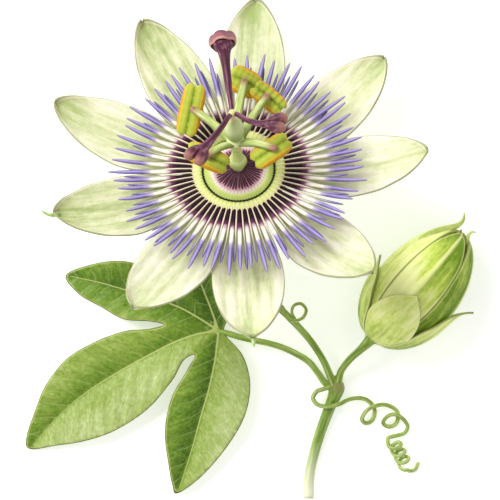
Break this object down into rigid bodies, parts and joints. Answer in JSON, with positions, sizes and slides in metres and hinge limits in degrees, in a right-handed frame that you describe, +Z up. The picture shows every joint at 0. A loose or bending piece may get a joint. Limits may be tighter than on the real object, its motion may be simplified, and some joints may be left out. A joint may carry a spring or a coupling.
{
  "type": "passion flower sprig",
  "caption": "Cut sprig of blue passion flower lying on its side: open flower with violet corona, closed bud, lobed leaf, coiled tendrils and a short stem.",
  "frame": {"origin": "middle of the sprig's outline, on the surface it lies on", "axes": "+Z up from the surface, +Y from the cut stem toward the top of the flower, +X toward the bud"},
  "size_m": [0.1138, 0.128, 0.0533],
  "materials": {
    "stem_green": "smooth satin green bark-less stem, paler toward the cut end",
    "petiole_green": "smooth satin green stalk",
    "pedicel_green": "smooth satin green stalk",
    "bud_stalk_green": "smooth satin green stalk",
    "tendril_green": "fine satin yellow-green tendril",
    "leaf_green": "matt leathery leaf green with yellow-green veins and margin",
    "sepal_cream_green": "matt greenish cream with soft green streaks",
    "petal_cream_white": "matt cream white with soft green streaks",
    "receptacle_green": "matt pale green",
    "bract_green": "matt leafy green",
    "corona_violet": "matt filaments banded near-black purple, cream white and violet",
    "corona_white": "matt thin filaments banded white and violet",
    "throat_yellow_green": "satin yellow-green flesh",
    "toothed_black": "matt near-black line",
    "operculum_green": "satin light green flesh",
    "fringe_purple": "matt dark purple with fine pink lines",
    "column_green": "satin light green",
    "ovary_green": "smooth pale grey-green",
    "filament_green": "satin light green",
    "anther_yellow_green": "matt yellow-green with orange-yellow edges",
    "style_maroon": "satin maroon purple",
    "stigma_rose": "matt tan rose caps over maroon",
    "bud_green": "satin yellow-green with lighter keels",
    "bud_bract_green": "matt light green"
  },
  "bodies": {
    "root": {"anther_1": "anther_yellow_green", "anther_2": "anther_yellow_green", "anther_3": "anther_yellow_green", "anther_4": "anther_yellow_green", "anther_5": "anther_yellow_green", "bud_bract_1": "bud_bract_green", "bud_bract_2": "bud_bract_green", "bud_bract_3": "bud_bract_green", "bud_pedicel": "bud_stalk_green", "bud_sepal_1": "bud_green", "bud_sepal_2": "bud_green", "bud_sepal_3": "bud_green", "bud_sepal_4": "bud_green", "bud_sepal_5": "bud_green", "column": "column_green", "corona_outer_row": "corona_violet", "corona_second_row": "corona_white", "flower_bract_1": "bract_green", "flower_bract_2": "bract_green", "flower_bract_3": "bract_green", "flower_pedicel": "pedicel_green", "inner_fringe": "fringe_purple", "leaf_blade": "leaf_green", "operculum": "operculum_green", "ovary": "ovary_green", "petal_1": "petal_cream_white", "petal_2": "petal_cream_white", "petal_3": "petal_cream_white", "petal_4": "petal_cream_white", "petiole": "petiole_green", "receptacle": "receptacle_green", "sepal_1": "sepal_cream_green", "sepal_2": "sepal_cream_green", "sepal_3": "sepal_cream_green", "sepal_4": "sepal_cream_green", "sepal_5": "sepal_cream_green", "stamen_filament_1": "filament_green", "stamen_filament_2": "filament_green", "stamen_filament_3": "filament_green", "stamen_filament_4": "filament_green", "stamen_filament_5": "filament_green", "stem": "stem_green", "stigma_1": "stigma_rose", "stigma_2": "stigma_rose", "stigma_3": "stigma_rose", "style_1": "style_maroon", "style_2": "style_maroon", "style_3": "style_maroon", "tendril_long": "tendril_green", "tendril_short": "tendril_green", "throat_ring": "throat_yellow_green", "toothed_ring": "toothed_black"}
  },
  "joints": []
}
